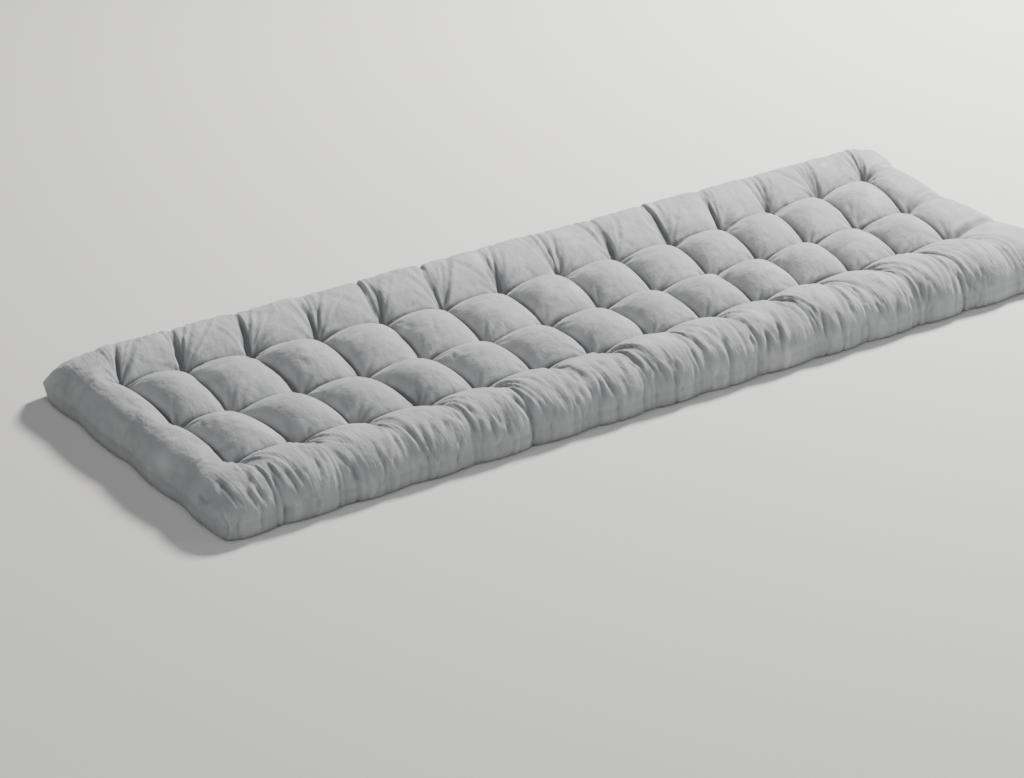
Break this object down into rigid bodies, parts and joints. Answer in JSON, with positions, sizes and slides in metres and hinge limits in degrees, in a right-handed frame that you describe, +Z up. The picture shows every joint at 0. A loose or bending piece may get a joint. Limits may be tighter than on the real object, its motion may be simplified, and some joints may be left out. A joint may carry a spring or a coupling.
{
  "type": "bench cushion",
  "caption": "Long flat tufted bench cushion: rows of rounded pillows between sewn tufts, rolled edges all round, in plain grey velvety cloth.",
  "frame": {"origin": "middle of the cushion's outline, on the surface that it lies on", "axes": "+X along the cushion, +Y from its front edge to its back edge, +Z up out of its tufted face"},
  "size_m": [1.8268, 0.615, 0.0889],
  "materials": {
    "cover_cloth": "matt grey microfibre with a short soft nap"
  },
  "bodies": {
    "root": {"cushion": "cover_cloth"}
  },
  "joints": []
}
